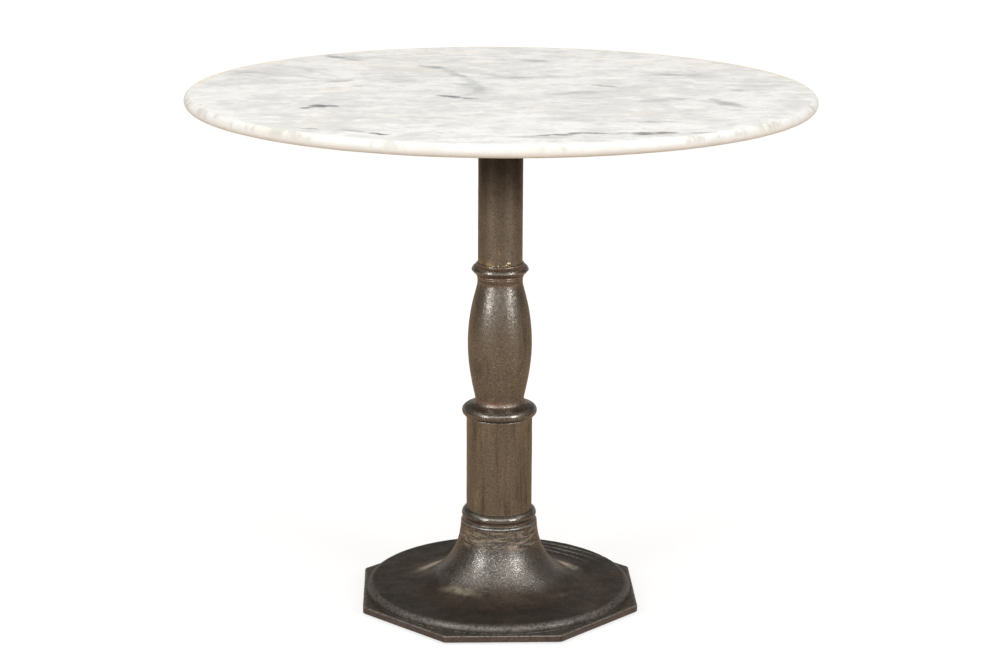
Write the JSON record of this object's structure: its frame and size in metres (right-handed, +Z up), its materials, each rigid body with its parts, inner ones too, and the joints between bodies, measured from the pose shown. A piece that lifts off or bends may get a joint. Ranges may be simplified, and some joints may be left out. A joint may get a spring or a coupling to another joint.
{
  "type": "bistro table",
  "caption": "Round pedestal bistro table: stone top with a rounded edge on a turned cast-iron column, bell and octagonal base with levelling glides.",
  "frame": {"origin": "on the floor, under the middle of the table", "axes": "+Z up along the column; one flat of the octagonal plinth faces -Y"},
  "size_m": [0.9143, 0.9144, 0.778],
  "materials": {
    "marble": "honed white stone with grey and tan veins",
    "aged_iron": "dark brown patina with rubbed and rusted patches",
    "spider_iron": "rough casting, black",
    "zinc_steel": "dull zinc plate",
    "brass": "plain turned brass",
    "rubber": "matte black",
    "nylon": "moulded, matte"
  },
  "bodies": {
    "table": {"marble_top": "marble", "top_inserts": "brass", "top_cushions": "rubber", "top_bolts": "zinc_steel", "top_washers": "zinc_steel", "top_spider": "spider_iron", "rod_top_nut": "zinc_steel", "rod_top_washer": "zinc_steel", "tie_rod": "zinc_steel", "upper_tube": "aged_iron", "upper_collar": "aged_iron", "baluster": "aged_iron", "mid_collar": "aged_iron", "lower_drum": "aged_iron", "base_ring": "aged_iron", "base_bell": "aged_iron", "base_plinth": "aged_iron", "plinth_screws": "zinc_steel", "rod_bottom_washer": "zinc_steel", "rod_lock_washer": "zinc_steel", "rod_bottom_nut": "zinc_steel"},
    "pad_1": {"glide_pad_1": "nylon"},
    "stud_1": {"glide_stud_1": "zinc_steel"},
    "pad_2": {"glide_pad_2": "nylon"},
    "stud_2": {"glide_stud_2": "zinc_steel"},
    "pad_3": {"glide_pad_3": "nylon"},
    "stud_3": {"glide_stud_3": "zinc_steel"},
    "pad_4": {"glide_pad_4": "nylon"},
    "stud_4": {"glide_stud_4": "zinc_steel"}
  },
  "joints": [
    {"name": "glide_1_slide", "type": "slide", "parent": "table", "child": "pad_1", "axis": [0, 0, -1], "range_m": [0, 0.007]},
    {"name": "glide_1_turn", "type": "hinge", "parent": "pad_1", "child": "stud_1", "pos_m": [0.11667, 0.11667, 0], "axis": [0, 0, -1], "range_deg": [0, 2016]},
    {"name": "glide_2_slide", "type": "slide", "parent": "table", "child": "pad_2", "axis": [0, 0, -1], "range_m": [0, 0.007]},
    {"name": "glide_2_turn", "type": "hinge", "parent": "pad_2", "child": "stud_2", "pos_m": [-0.11667, 0.11667, 0], "axis": [0, 0, -1], "range_deg": [0, 2016]},
    {"name": "glide_3_slide", "type": "slide", "parent": "table", "child": "pad_3", "axis": [0, 0, -1], "range_m": [0, 0.007]},
    {"name": "glide_3_turn", "type": "hinge", "parent": "pad_3", "child": "stud_3", "pos_m": [-0.11667, -0.11667, 0], "axis": [0, 0, -1], "range_deg": [0, 2016]},
    {"name": "glide_4_slide", "type": "slide", "parent": "table", "child": "pad_4", "axis": [0, 0, -1], "range_m": [0, 0.007]},
    {"name": "glide_4_turn", "type": "hinge", "parent": "pad_4", "child": "stud_4", "pos_m": [0.11667, -0.11667, 0], "axis": [0, 0, -1], "range_deg": [0, 2016]}
  ],
  "couplings": [
    {"joint": "glide_1_slide", "follows": "glide_1_turn", "m_per_rad": 0.00019894},
    {"joint": "glide_2_slide", "follows": "glide_2_turn", "m_per_rad": 0.00019894},
    {"joint": "glide_3_slide", "follows": "glide_3_turn", "m_per_rad": 0.00019894},
    {"joint": "glide_4_slide", "follows": "glide_4_turn", "m_per_rad": 0.00019894}
  ]
}
